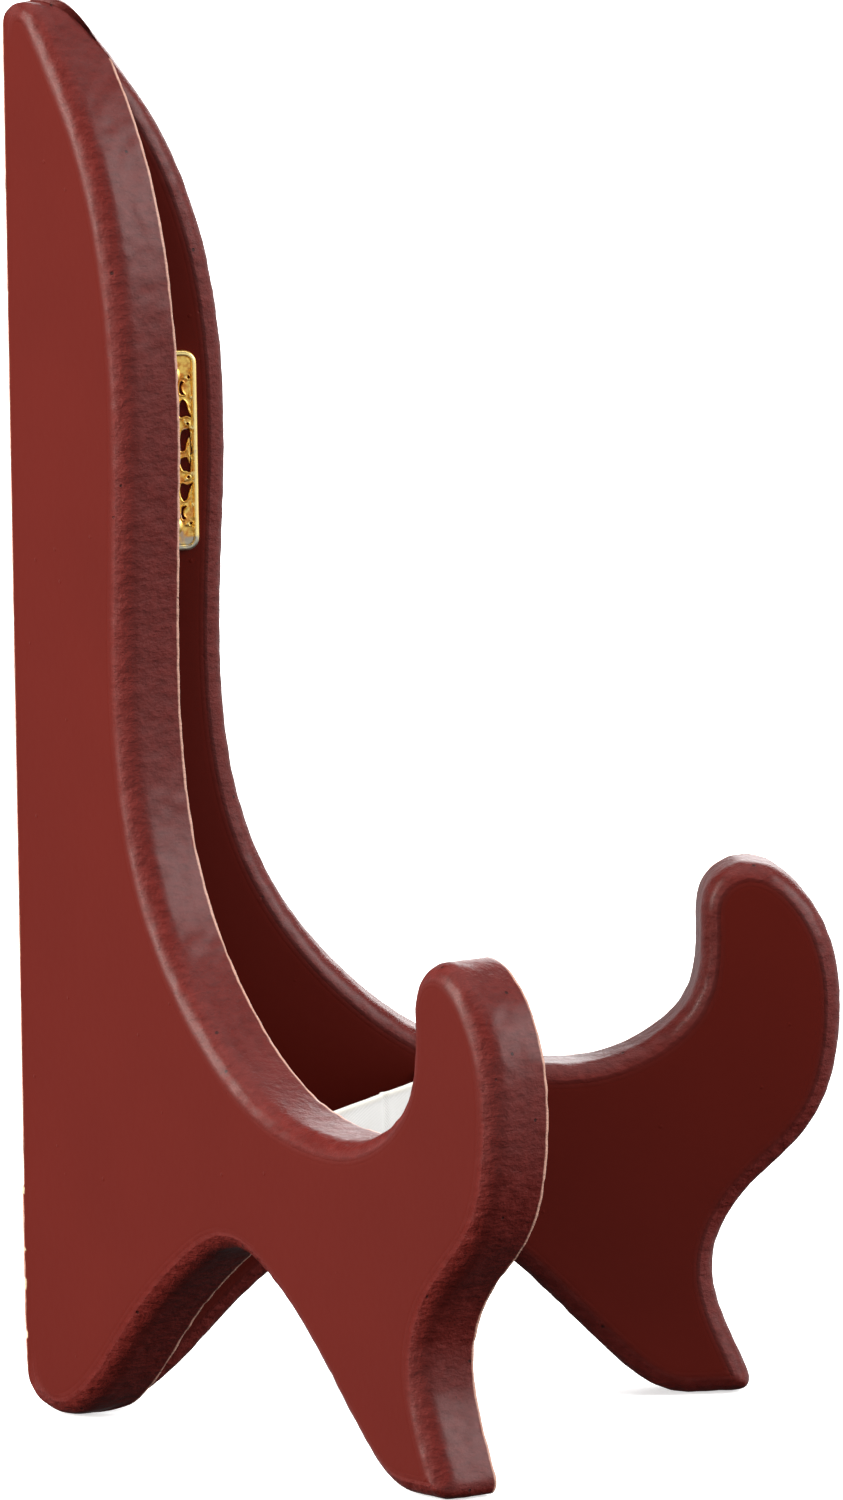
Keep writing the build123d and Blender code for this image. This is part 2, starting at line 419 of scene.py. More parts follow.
# %% A recipe and its wires
class Wire:
    """What comes out of a node. Arithmetic on wires adds Math nodes."""

    def __init__(self, recipe, socket):
        self.recipe = recipe
        self.socket = socket

    def math(self, operation, *values):
        return self.recipe.add("ShaderNodeMath", {"operation": operation}, dict(enumerate(values)))

    def __add__(self, other):
        return self.math("ADD", self, other)

    def __sub__(self, other):
        return self.math("SUBTRACT", self, other)

    def __mul__(self, other):
        return self.math("MULTIPLY", self, other)

    def __truediv__(self, other):
        return self.math("DIVIDE", self, other)

    def __radd__(self, other):
        return self.math("ADD", other, self)

    def __rsub__(self, other):
        return self.math("SUBTRACT", other, self)

    def __rmul__(self, other):
        return self.math("MULTIPLY", other, self)

    def between(self, low, high):
        """0 up to low, 1 from high on, or the other way round when low is above high."""
        settings = {"interpolation_type": "SMOOTHSTEP"}
        if low < high:
            return self.recipe.add("ShaderNodeMapRange", settings, {
                "Value": self, "From Min": low, "From Max": high})
        return 1 - self.between(high, low)


class Recipe:
    """The nodes of one finish."""

    def __init__(self, name):
        self.material = bpy.data.materials.new(name)
        self.material.use_nodes = True
        self.nodes = self.material.node_tree.nodes
        self.links = self.material.node_tree.links
        self.nodes.clear()

    def add(self, kind, settings=(), sockets=(), output=0):
        """Add a node: its type, its settings, and the values or wires of its sockets."""
        node = self.nodes.new(kind)
        for key, value in dict(settings).items():
            setattr(node, key, value)
        for key, value in dict(sockets).items():
            by_id = [socket for socket in node.inputs if socket.identifier == key and socket.enabled]
            socket = by_id[0] if by_id else node.inputs[key]
            if isinstance(value, Wire):
                self.links.new(value.socket, socket)
            elif socket.type == "RGBA":
                socket.default_value = (*value, 1)
            else:
                socket.default_value = value
        by_id = [socket for socket in node.outputs if socket.identifier == output]
        return Wire(self, by_id[0] if by_id else node.outputs[output])

    def number(self, name):
        """A number that was stored on the mesh."""
        return self.add("ShaderNodeAttribute", {"attribute_name": name}, output="Fac")

    def noise(self, place, size, detail=2.0, rough=0.5):
        """Soft random patches of about that size in metres."""
        return self.add("ShaderNodeTexNoise", {}, {
            "Vector": place, "Scale": 1 / size, "Detail": detail, "Roughness": rough})

    def dots(self, place, size):
        """The distance to the nearest of many scattered spots, as a share of their spacing in metres."""
        return self.add("ShaderNodeTexVoronoi", {"feature": "F1"}, {"Vector": place, "Scale": 1 / size})

    def mix(self, share, first, second):
        """Colour first where share is 0 and second where it is 1."""
        return self.add("ShaderNodeMix", {"data_type": "RGBA"}, {
            "Factor_Float": share, "A_Color": first, "B_Color": second}, output="Result_Color")

    def bump(self, height, distance, strength=1.0):
        """Tiny relief, with its greatest depth in metres."""
        return self.add("ShaderNodeBump", {}, {"Height": height, "Distance": distance, "Strength": strength})

    def finish(self, **sockets):
        """The surface itself. Returns the material."""
        names = {key: key.replace("_", " ").title().replace("Ior", "IOR") for key in sockets}
        surface = self.add("ShaderNodeBsdfPrincipled", {}, {
            names[key]: value for key, value in sockets.items()})
        end = self.nodes.new("ShaderNodeOutputMaterial")
        self.links.new(surface.socket, end.inputs["Surface"])
        return self.material


print("finish recipes ready")

# %% [markdown]
# ## Red-brown paint on fibreboard
#
# The boards are fibreboard, sprayed with a satin red-brown paint. The faces of the sheet are dense, so the
# paint lies smooth there, with faint clouds and a few dust nibs. Where the saw and the router have cut into
# the sheet the fibres stand up and drink the paint, so the edges are lumpy and a little paler. Their paler,
# mauve paint colour is also partly painted sheen: it stands in for the soft shine of the front light on the
# fuzzy fibre. Along the sharp corners the paint is rubbed through to a pale line. Three numbers stored on the
# mesh say how much of each there is at a point, and fine relief too small to model is added as bump.

# %% The paint
def board_paint():
    recipe = Recipe("sprayed_paint")
    place = recipe.add("ShaderNodeTexCoord", output="Object")
    cut = recipe.number("cut_edge")
    rubbed = recipe.number("rubbed_corner")
    bare = recipe.number("bare_fibre")

    cloud = recipe.noise(place, 0.018, 3.0)
    peel = recipe.noise(place, 0.0011, 2.0)
    fuzz = recipe.noise(place, 0.0006, 3.0, 0.6)
    clump = recipe.noise(place, 0.0024, 3.0, 0.6)
    stretched = recipe.add("ShaderNodeMapping", {}, {"Vector": place, "Scale": (0.55, 0.55, 1.0)})
    grain = recipe.noise(stretched, 0.0010, 4.0, 0.62)
    nib = recipe.dots(place, 0.0045).between(0.07, 0.03)
    # Tiny pinhole pits on the cut edges: sunk by the bump, and painted near black as painted shade inside
    # them.
    pinhole_pit_and_shade = recipe.dots(place, 0.0036).between(0.075, 0.035) * cut

    face = recipe.mix(cloud, (0.080, 0.0052, 0.0024), (0.094, 0.0070, 0.0036))
    # The cut edges' paler, mauve colour is partly the paint on cut fibre and partly painted sheen from the
    # front light.
    edge = recipe.mix(grain.between(0.25, 0.75), (0.084, 0.0070, 0.0050), (0.124, 0.0145, 0.0115))
    paint = recipe.mix(cut * 0.9, face, edge)
    worn = rubbed * (0.55 + clump * 0.9)
    paint = recipe.mix(worn.between(0.30, 0.65) * 0.9, paint, (0.60, 0.34, 0.26))
    # Painted shade: the pinhole pits are darkened to near black.
    paint = recipe.mix(pinhole_pit_and_shade * 0.8, paint, (0.02, 0.004, 0.003))
    fibre = recipe.mix(fuzz, (0.50, 0.37, 0.22), (0.80, 0.68, 0.50))
    paint = recipe.mix(bare.between(0.3, 0.7), paint, fibre)

    height = peel * (1 - cut) * 0.05 + nib * (1 - cut) * 0.1 + (fuzz * 0.25 + grain * 1.1 + clump * 0.5) * cut
    height = height - pinhole_pit_and_shade * 0.6
    return recipe.finish(
        base_color=paint,
        roughness=0.44 + cut * 0.06 + peel * 0.06 + rubbed * 0.08,
        specular_ior_level=0.07,
        coat_weight=cut * (1 - bare) * 0.24,
        coat_roughness=0.34,
        normal=recipe.bump(height, distance=0.00042, strength=1.0),
    )


paint = board_paint()
print("made", paint.name, "with", len(paint.node_tree.nodes), "nodes")

# %% [markdown]
# ## The two boards
#
# Each board is 9 mm thick. One face of it has its edge routed to a 3 mm curve, and the other keeps a sharp
# corner that is only broken with paper. The back edge is sawn to a slope, a mitre, so that the boards can
# open in front of each other, and the hinges sit forward of the slope. The left board shows its routed side
# outward and the right board inward, because both were routed on the same side of the sheet. The surfaces
# are given as heights over the bench, so the fall of the routed curve is one formula of the distance to the
# edge.

# %% The heights of a board's two faces
roundover = 3.0
broken_corner = 0.3
eased_in = 7.0
routed_rows = [roundover * (1 - math.cos(math.radians(turn))) for turn in (11, 22, 33, 44, 56, 68, 79, 90)]
broken_rows = [broken_corner * (1 - math.cos(math.radians(turn))) for turn in (22, 45, 68, 90)]
left_board = benches["left"].measure(points_of("left_board"))
mitre_run = left_board[left_board[:, 2] < 1e-2][:, 0].min()

behind = outline[:, 0] < 0.01
start = int(np.flatnonzero(~behind & np.roll(behind, 1))[0])
shaped_edge = np.roll(outline, -start, axis=0)[:int((~behind).sum())]


def fall(spots, radius):
    """How far a face drops near the shaped edge, where the edge is rounded to that radius.

    The cutter is eased in beside the back edge, so that the thin corner there isn't cut away."""
    short = np.clip(radius - distance_to(spots, [shaped_edge], closed=False), 0, radius)
    return (radius - np.sqrt(radius ** 2 - short ** 2)) * ramp(spots[:, 0], 0, eased_in)


def mitre(spots):
    """Height of the sawn slope at the back of a board."""
    return thickness * (1 - spots[:, 0] / mitre_run)


def pulled_in(loop, low, high):
    """The outline drawn inward where the mitre has cut right through the routed curve."""
    loop = loop.copy()
    along = np.roll(loop, -1, axis=0) - np.roll(loop, 1, axis=0)
    inward = np.column_stack([-along[:, 1], along[:, 0]]) / np.linalg.norm(along, axis=1)[:, None]
    wrong = np.arange(len(loop))
    while len(wrong):
        wrong = wrong[high(loop[wrong]) - low(loop[wrong]) < -1e-6]
        loop[wrong] += inward[wrong] * 0.05
    return loop


print("mitre runs", round(float(mitre_run), 2), "mm forward; shaped edge has", len(shaped_edge), "points")


# %% Build and wear one board
def board_mesh(bench, routed_outside):
    """The closed board on the bench, in millimetres."""
    outer_radius, inner_radius = (roundover, broken_corner) if routed_outside else (broken_corner, roundover)

    def high(spots):
        return thickness - fall(spots, outer_radius)

    def low(spots):
        return np.maximum(mitre(spots), fall(spots, inner_radius))

    loop = pulled_in(outline, low, high)
    up = np.arange(1.0, outline[:, 1].max(), 1.5)
    crease = np.column_stack([np.full(len(up), mitre_run), up])
    crease = crease[inside(crease, [loop])]
    crease = crease[distance_to(crease, [loop]) > 0.7]
    routed = routed_rows + [roundover + 0.5, roundover + 1.3]
    broken = broken_rows + [0.6, 1.2, 2.2]
    high_fill = fill([loop], routed if routed_outside else broken, grid=3.0)
    low_fill = fill([loop], broken if routed_outside else routed, grid=2.4, creases=[crease])
    body = closed_body([loop], low, high, low_fill, high_fill, wall_rows=10)
    return solid_mesh(f"{bench.name}_board_wood", *body)


def wear(mesh, routed_outside, seed):
    """Store where the board is cut, rubbed and bare, and raise the lumps of its cut edges."""
    places = read_places(mesh)
    spots, height = places[:, :2], places[:, 2]
    to_edge = distance_to(spots, [shaped_edge], closed=False)
    to_sharp_face = height if routed_outside else thickness - height
    dropped = thickness - to_sharp_face
    on_mitre = (np.abs(height - mitre(spots)) < 0.03) & (spots[:, 0] < mitre_run)
    cut = np.where(to_sharp_face < 0.02, ramp(to_edge, 0.5, 0.15), ramp(dropped, 0.01, 0.15))
    cut[on_mitre] = 0.8
    rubbed = ramp(np.hypot(to_edge, to_sharp_face), 0.54, 0.17)
    rubbed = np.maximum(rubbed, ramp(np.hypot(spots[:, 0], thickness - height), 0.4, 0.05) * 0.7)

    normals = np.empty(len(places) * 3)
    mesh.vertices.foreach_get("normal", normals)
    push = cut * (0.17 * (lumps(places, 1.5, seed) - 1) + 0.08 * (lumps(places, 3.4, seed + 1) - 1)) / 2
    push -= rubbed * 0.12 * ramp(lumps(places, 2.2, seed + 2), 0.05, 0.5)
    write_places(mesh, places + normals.reshape(-1, 3) * push[:, None])
    paint_by(mesh, "cut_edge", cut)
    paint_by(mesh, "rubbed_corner", rubbed)


def chip_back_corner(mesh, chips, burr_top, burr):
    """Break pale chips out of the thin back corner, and leave a torn strip standing proud below burr_top."""
    places = read_places(mesh)
    at_corner = ramp(np.hypot(places[:, 0], thickness - places[:, 2]), 0.45, 0.1)
    strip = ramp(places[:, 1], 4.0, 14.0) * ramp(places[:, 1], burr_top + 0.4, burr_top)
    places[:, 0] -= burr * at_corner * strip
    bare = np.zeros(len(places))
    for middle, length, depth in chips:
        chip = at_corner * ramp(np.abs(places[:, 1] - middle), length * 0.8, length * 0.35)
        places[:, 0] += depth * chip
        bare = np.maximum(bare, chip)
    write_places(mesh, places)
    paint_by(mesh, "bare_fibre", bare)


# Each chip's height on the board, its length, and how deep it goes in. A negative depth stands proud.
left_chips = [(27.9, 0.9, -0.15), (20.4, 0.5, 0.1), (16.2, 1.3, 0.12), (9.8, 0.8, 0.15)]
for side, seed, chips, burr in (("left", 1, left_chips, 0.3), ("right", 5, [], 0.0)):
    bench = benches[side]
    mesh = board_mesh(bench, routed_outside=side == "left")
    wear(mesh, side == "left", seed)
    chip_back_corner(mesh, chips, burr_top=28.0, burr=burr)
    to_stand(mesh, bench)
    board = add_piece(f"{side}_board_wood", mesh, paint, bench.body)
    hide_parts(f"{side}_board")
    print(board.name, len(mesh.polygons), "faces")

# %% [markdown]
# ## Brass, steel wire and woven tape
#
# Thin plated brass is bright on whatever stands up, because hands and packing polish it, and dull and brown
# in the hollows. Where the plating has worn off near the ends of a leaf the metal under it is grey. The
# height of the stamped relief is stored on the mesh, so the finish can tell a crest from a hollow. The tape
# is a plain weave, drawn from threads that run along and across the strip.

# %% Three small finishes
def stamped_brass():
    recipe = Recipe("stamped_brass")
    place = recipe.add("ShaderNodeTexCoord", output="Object")
    crest = recipe.number("relief")
    grey = recipe.number("worn_plating")
    patch = recipe.noise(place, 0.0016, 3.0, 0.6)
    grain = recipe.noise(place, 0.00025, 2.0)
    brown = (patch.between(0.42, 0.62) * (1 - crest)) * 0.9
    colour = recipe.mix(brown, (0.94, 0.66, 0.17), (0.62, 0.21, 0.035))
    colour = recipe.mix(crest.between(0.45, 0.9) * 0.7, colour, (1.0, 0.88, 0.44))
    colour = recipe.mix((grey + patch * 1.2).between(0.95, 1.45) * 0.9, colour, (0.42, 0.42, 0.37))
    return recipe.finish(
        base_color=colour,
        metallic=0.95 - brown * 0.3,
        roughness=0.34 + patch * 0.16 - crest * 0.08,
        normal=recipe.bump(grain + patch * 0.8, distance=0.00002, strength=0.6),
    )


def drawn_wire(name, dark, light):
    recipe = Recipe(name)
    place = recipe.add("ShaderNodeTexCoord", output="Object")
    patch = recipe.noise(place, 0.0011, 3.0, 0.6)
    line = recipe.noise(place, 0.00018, 2.0)
    return recipe.finish(
        base_color=recipe.mix(patch, dark, light),
        metallic=0.96 - patch * 0.06,
        roughness=0.28 + line * 0.16,
        normal=recipe.bump(line, distance=0.00001, strength=0.5),
    )


def woven_tape():
    recipe = Recipe("woven_tape")
    strip = recipe.add("ShaderNodeUVMap", {"uv_map": "strip"})
    across = recipe.add("ShaderNodeSeparateXYZ", {}, {"Vector": strip}, output="X")
    along = recipe.add("ShaderNodeSeparateXYZ", {}, {"Vector": strip}, output="Y")
    place = recipe.add("ShaderNodeTexCoord", output="Object")
    warp = (across * (math.tau / 0.42)).math("SINE", across * (math.tau / 0.42))
    weft = (along * (math.tau / 0.36)).math("SINE", along * (math.tau / 0.36))
    weave = (warp * weft) * 0.5 + 0.5
    soil = recipe.noise(place, 0.004, 3.0, 0.6).between(0.5, 0.8)
    # The selvedges are raised by the bump and painted paler cream, which is partly a painted highlight along
    # both edges of the tape.
    selvedge = recipe.number("selvedge")
    colour = recipe.mix(weave, (0.68, 0.675, 0.65), (0.79, 0.785, 0.765))
    colour = recipe.mix(selvedge * 0.7, colour, (0.86, 0.82, 0.72))
    colour = recipe.mix(soil * 0.25, colour, (0.60, 0.55, 0.46))
    return recipe.finish(
        base_color=colour,
        roughness=0.82 + weave * 0.08,
        specular_ior_level=0.2,
        sheen_weight=0.25,
        normal=recipe.bump(weave + selvedge, distance=0.00008, strength=0.7),
    )


brass = stamped_brass()
pin_brass = drawn_wire("brass_wire", (0.62, 0.42, 0.15), (0.84, 0.64, 0.29))
steel = drawn_wire("drawn_steel", (0.42, 0.42, 0.42), (0.68, 0.68, 0.66))
cloth = woven_tape()
print("made", brass.name, pin_brass.name, steel.name, cloth.name)

# %% [markdown]
# ## Stamped hinge leaves
#
# Each little hinge is two leaves of thin brass plate. The press cuts the outline and the openwork and raises
# a bead round the rim in one blow, and then the tongues are rolled round the pin. The openwork here is a
# plain arrangement of bells, lozenges and eyelets, the same above and below the middle and on both sides.
# It is drawn once in one quarter and mirrored, and the raised bead, ridges and knobs are heights over the
# plate, so everything is one closed body and not a picture on a flat strip.

# %% Draw the openwork
hinge_middles = {level: np.mean(benches["right"].measure(points_of(f"{level}_right_leaf"))[:, 1])
                 for level in ("lower", "upper")}
leaf_corners = benches["right"].measure(points_of("upper_right_leaf"))
leaf_width = leaf_corners[:, 0].max() - benches["right"].pin[0]
leaf_height = np.ptp(leaf_corners[:, 1])
plate = 0.5
knuckles = 5
knuckle_radius = 1.2
nail_reach, nail_spread = 4.2, 9.4


def curved(points, step, closed=True):
    """A smooth line through the points, with its own points an even step apart."""
    points = np.array(points, float)
    ends = (points[-1:], points[:2]) if closed else (points[:1], points[-1:])
    padded = np.vstack([ends[0], points, ends[1]])
    share = np.linspace(0, 1, 12, endpoint=False)[:, None]
    runs = []
    for before, start, end, after in zip(padded, padded[1:], padded[2:], padded[3:]):
        runs.append(0.5 * (2 * start + (end - before) * share
                           + (2 * before - 5 * start + 4 * end - after) * share ** 2
                           + (3 * start - before - 3 * end + after) * share ** 3))
    if not closed:
        runs.append(points[-1:])
    return even_steps(np.vstack(runs), step, closed)


def mirrored(line):
    """The line and its mirror images to the other side, and above and below the middle."""
    line = np.array(line, float)
    return [line * (sideways, upward) for sideways in (1, -1) for upward in (1, -1)]


bell = [(2.50, 4.10), (2.12, 4.95), (1.86, 5.95), (1.42, 6.35),
        (1.05, 5.80), (0.92, 4.85), (1.15, 4.12), (1.85, 4.30)]
long_opening = [(2.30, 2.30), (1.78, 2.62), (1.22, 2.35), (1.00, 1.20),
                (1.05, 0.0), (1.62, 0.0), (1.82, 0.85), (2.20, 1.55)]
end_opening = [(1.70, 6.95), (1.38, 7.45), (1.30, 8.05), (1.58, 8.50),
               (1.22, 8.62), (1.02, 7.90), (1.12, 7.10)]
end_drop = [(2.42, 9.05), (2.16, 9.42), (2.10, 8.98)]
side_notch = [(2.52, 0.55), (2.28, 0.18), (2.28, -0.18), (2.52, -0.55)]
middle_lozenge = [(0.0, 1.75), (0.42, 0.75), (0.52, 0.0), (0.42, -0.75),
                  (0.0, -1.75), (-0.42, -0.75), (-0.52, 0.0), (-0.42, 0.75)]
middle_drop = [(0.0, 6.6), (0.40, 5.2), (0.36, 4.2), (0.0, 3.7), (-0.36, 4.2), (-0.40, 5.2)]
eyelet_spots = mirrored([(2.0, 3.32)])
knob_spots = [image for spot in ((2.38, 2.86), (1.62, 3.62), (2.42, 6.7), (1.75, 9.15))
              for image in mirrored([spot])]
ridge_lines = mirrored([(2.62, 1.30), (2.12, 0.62), (1.98, 0.0)])
ridge_lines += mirrored([(0.55, 7.3), (0.72, 6.1), (0.66, 4.4), (0.70, 3.0)])
arch_lines = mirrored([(0.3, 11.1), (1.5, 10.95), (2.25, 10.2), (2.38, 9.75)])


def ring(middle, radius, step):
    """A small circle."""
    turns = np.linspace(0, math.tau, max(10, round(math.tau * radius / step)), endpoint=False)
    return np.array(middle) + radius * np.column_stack([np.cos(turns), np.sin(turns)])


def openwork(step):
    """Every opening of a leaf, measured from the middle of the ornament."""
    openings = []
    for shape in (bell, end_opening, end_drop):
        openings += [curved(image, step) for image in mirrored(shape)]
    half = long_opening + [(x, -y) for x, y in long_opening[::-1] if y > 0]
    openings += [curved(image, step) for image in mirrored(half)[::2]]
    openings += [curved(image, step) for image in mirrored(side_notch)[::2]]
    openings += [curved(middle_lozenge, step)] + [curved(image, step) for image in mirrored(middle_drop)[:2]]
    openings += [ring(spot[0], 0.16, step) for spot in eyelet_spots]
    openings += [ring((0, side * nail_spread), 0.56, step) for side in (-1, 1)]
    return [loop if signed_area(loop) > 0 else loop[::-1] for loop in openings]


holes = openwork(step=0.11)
print("openwork of", len(holes), "openings; leaf",
      round(float(leaf_width), 2), "by", round(float(leaf_height), 2), "mm")


# %% Press and roll a leaf
def leaf_outline(pin, middle, own, step=0.2, corner=1.6, notch=1.4, end_play=0.06):
    """The edge of a leaf, with tongues only where its own knuckles are, and the free border by itself."""
    low, high = middle - leaf_height / 2, middle + leaf_height / 2
    free = pin + leaf_width
    turns = np.radians(np.linspace(0, 90, 7))
    lower_corner = [(free - corner + corner * math.sin(turn), low + corner - corner * math.cos(turn))
                    for turn in turns]
    upper_corner = [(free - corner + corner * math.cos(turn), high - corner + corner * math.sin(turn))
                    for turn in turns]
    border = [(pin + notch, low), *lower_corner, *upper_corner, (pin + notch, high)]
    pitch = leaf_height / knuckles
    comb = []
    for number in reversed(range(knuckles)):
        start, end = low + number * pitch, low + (number + 1) * pitch
        if number in own:
            play = [end_play if side not in (low, high) else 0 for side in (end, start)]
            comb += [(pin + 0.1, end - play[0]), (pin + 0.1, start + play[1])]
        else:
            comb += [(pin + notch, end + end_play), (pin + notch, start - end_play)]
    comb = [(x, min(max(y, low), high)) for x, y in comb]
    whole = [*border[1:-1], *comb]
    return even_steps(np.array(whole), step), even_steps(np.array(border), step, closed=False)


def knuckle_roll(pin, pin_height, start, end, segments=30, seam=22):
    """A tongue rolled round the pin, open by a narrow seam on the side away from the board."""
    turns = np.radians(np.linspace(90, 360 + seam, segments))
    places, faces = [], []
    for up, ease in ((start, 0.06), (start + 0.09, 0.0), (end - 0.09, 0.0), (end, 0.06)):
        for radius in (knuckle_radius - ease, knuckle_radius - plate + ease):
            places += [(pin + radius * math.cos(t), up, pin_height + radius * math.sin(t)) for t in turns]
    layer = 2 * segments
    around = [*range(segments), *range(2 * segments - 1, segments - 1, -1)]
    for row in range(3):
        for here, after in zip(around, around[1:] + around[:1]):
            first, second = row * layer, (row + 1) * layer
            faces.append((first + here, first + after, second + after, second + here))
    for row in (0, 3):
        for here in range(segments - 1):
            square = (here, here + 1, segments + here + 1, segments + here)
            faces.append(tuple(row * layer + index for index in square))
    return places, faces


def stamped_relief(spots, border, around_holes, centre):
    """How far the press has raised each spot of a leaf above its plate."""

    def beside(line):
        return distance_to(spots, [curved(line, 0.2, False) + centre], False)

    def around(middle):
        return np.hypot(*(spots - centre - middle).T)

    from_rim = distance_to(spots, [border], closed=False)
    raised = 0.24 * np.sqrt(np.clip(1 - ((from_rim - 0.36) / 0.34) ** 2, 0, 1))
    raised += 0.05 * ramp(np.abs(from_rim - 0.86), 0.10, 0.02)
    to_hole = distance_to(spots, around_holes)
    raised = np.maximum(raised, 0.09 * ramp(np.abs(to_hole - 0.10), 0.11, 0.02))
    for line in ridge_lines:
        raised = np.maximum(raised, 0.13 * ramp(beside(line), 0.19, 0.02))
    for line in arch_lines:
        raised -= 0.07 * ramp(beside(line), 0.14, 0.03)
    for (spot,) in knob_spots:
        raised = np.maximum(raised, 0.20 * np.sqrt(np.clip(1 - (around(spot) / 0.27) ** 2, 0, 1)))
    for (spot,) in eyelet_spots:
        raised = np.maximum(raised, 0.16 * ramp(np.abs(around(spot) - 0.29), 0.13, 0.02))
    return raised


def hinge_leaf(level, bench, own):
    """One leaf with its openwork, relief and rolled knuckles, in its place."""
    pin, pin_height, middle = bench.pin[0], bench.pin[2], hinge_middles[level]
    edge, border = leaf_outline(pin, middle, own)
    centre = np.array((pin + nail_reach, middle))
    loops = [edge] + [hole + centre for hole in holes]

    def low(spots):
        return -plate - stamped_relief(spots, border, loops[1:], centre)

    def high(spots):
        return np.full(len(spots), -0.012)

    face_fill = fill(loops, [0.05, 0.10, 0.20, 0.36, 0.52, 0.64, 0.71], grid=0.24)
    back_fill = fill(loops, [0.15], grid=1.2)
    places, faces = closed_body(loops, low, high, face_fill, back_fill, wall_rows=2)
    places = places.tolist()
    pitch = leaf_height / knuckles
    for number in own:
        start = middle - leaf_height / 2 + number * pitch
        roll, roll_faces = knuckle_roll(pin, pin_height, start + 0.06, start + pitch - 0.06)
        faces += [tuple(index + len(places) for index in face) for face in roll_faces]
        places += roll
    mesh = solid_mesh(f"{level}_{bench.name}_stamped_leaf", places, faces)
    spots = read_places(mesh)
    on_plate = spots[:, 2] > pin_height + knuckle_radius - plate - 0.35
    crest = np.where(on_plate, np.clip((-plate - spots[:, 2]) / 0.22, 0, 1), 0.55)
    paint_by(mesh, "relief", crest)
    worn_end = ramp(middle - spots[:, 1] + 1.6 * lumps(spots, 1.3, 8), 9.4, 12.4)
    worn_patches = 0.6 * ramp(np.abs(lumps(spots, 2.5, 3)), 0.35, 0.6)
    paint_by(mesh, "worn_plating", np.clip(worn_end + worn_patches, 0, 1))
    to_stand(mesh, bench)
    leaf = add_piece(mesh.name, mesh, brass, bench.body, sharp=50)
    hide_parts(f"{level}_{bench.name}_leaf")
    return leaf


for level in hinge_middles:
    for bench, own in ((benches["left"], (0, 2, 4)), (benches["right"], (1, 3))):
        leaf = hinge_leaf(level, bench, own)
        print(leaf.name, len(leaf.data.polygons), "faces")

# %% [markdown]
# ## Nails, and a rig that sets them
#
# Eight brass nails with low domed heads hold the hinges. They are the same nail, driven in turned every
# which way, which is just what instances are for. One nail is turned to shape as rings of points, with a few
# hammer flats on its head. A Geometry Nodes rig then sets a copy on each nail spot, points it into the
# board, gives it a turn of its own, and makes the copies real so that they export.

# %% Rigs
class Rig(Recipe):
    """A Geometry Nodes tree that is written in the same way as a finish."""

    def __init__(self, name, inputs):
        self.tree = bpy.data.node_groups.new(name, "GeometryNodeTree")
        self.nodes, self.links = self.tree.nodes, self.tree.links
        sockets = self.tree.interface
        sockets.new_socket("Geometry", in_out="OUTPUT", socket_type="NodeSocketGeometry")
        sockets.new_socket("Geometry", in_out="INPUT", socket_type="NodeSocketGeometry")
        self.ids = {label: sockets.new_socket(label, in_out="INPUT", socket_type=kind).identifier
                    for label, kind in inputs.items()}
        self.entry = self.nodes.new("NodeGroupInput")

    def given(self, label):
        """The wire of one of the rig's inputs."""
        return Wire(self, self.entry.outputs[label])

    def close(self, geometry):
        """Make copies real, set the material, and end the tree."""
        real = self.add("GeometryNodeRealizeInstances", {}, {"Geometry": geometry})
        dressed = self.add("GeometryNodeSetMaterial", {}, {
            "Geometry": real, "Material": self.given("Material")})
        end = self.nodes.new("NodeGroupOutput")
        self.links.new(dressed.socket, end.inputs["Geometry"])
        return self

    def run(self, name, mesh, values):
        """Run the rig on a mesh with these input values, and return the plain mesh that comes out."""
        carrier = bpy.data.objects.new(name, mesh)
        bpy.context.scene.collection.objects.link(carrier)
        modifier = carrier.modifiers.new("rig", "NODES")
        modifier.node_group = self.tree
        for label, value in values.items():
            modifier[self.ids[label]] = value
        view = bpy.context.evaluated_depsgraph_get()
        made = bpy.data.meshes.new_from_object(carrier.evaluated_get(view))
        carrier.modifiers.remove(modifier)
        bpy.data.objects.remove(carrier)
        made.name = name
        return made


def nail_rig():
    rig = Rig("set_nails", {
        "Nail": "NodeSocketObject", "Direction": "NodeSocketVector", "Size": "NodeSocketFloat",
        "Seed": "NodeSocketInt", "Material": "NodeSocketMaterial"})
    nail = rig.add("GeometryNodeObjectInfo", {}, {"Object": rig.given("Nail")}, output="Geometry")
    turn = rig.add("FunctionNodeRandomValue", {"data_type": "FLOAT"}, {
        "Max_001": math.tau, "Seed": rig.given("Seed")}, output="Value_001")
    pointed = rig.add("FunctionNodeAlignRotationToVector", {"axis": "Z"}, {"Vector": rig.given("Direction")})
    spin = rig.add("FunctionNodeAxisAngleToRotation", {}, {"Axis": (0, 0, 1), "Angle": turn})
    rotation = rig.add("FunctionNodeRotateRotation", {"rotation_space": "LOCAL"}, {
        "Rotation": pointed, "Rotate By": spin})
    set_nails = rig.add("GeometryNodeInstanceOnPoints", {}, {
        "Points": rig.given("Geometry"), "Instance": nail, "Rotation": rotation, "Scale": rig.given("Size")})
    return rig.close(set_nails)


nailer = nail_rig()
print("rig", nailer.tree.name, "has", len(nailer.nodes), "nodes")


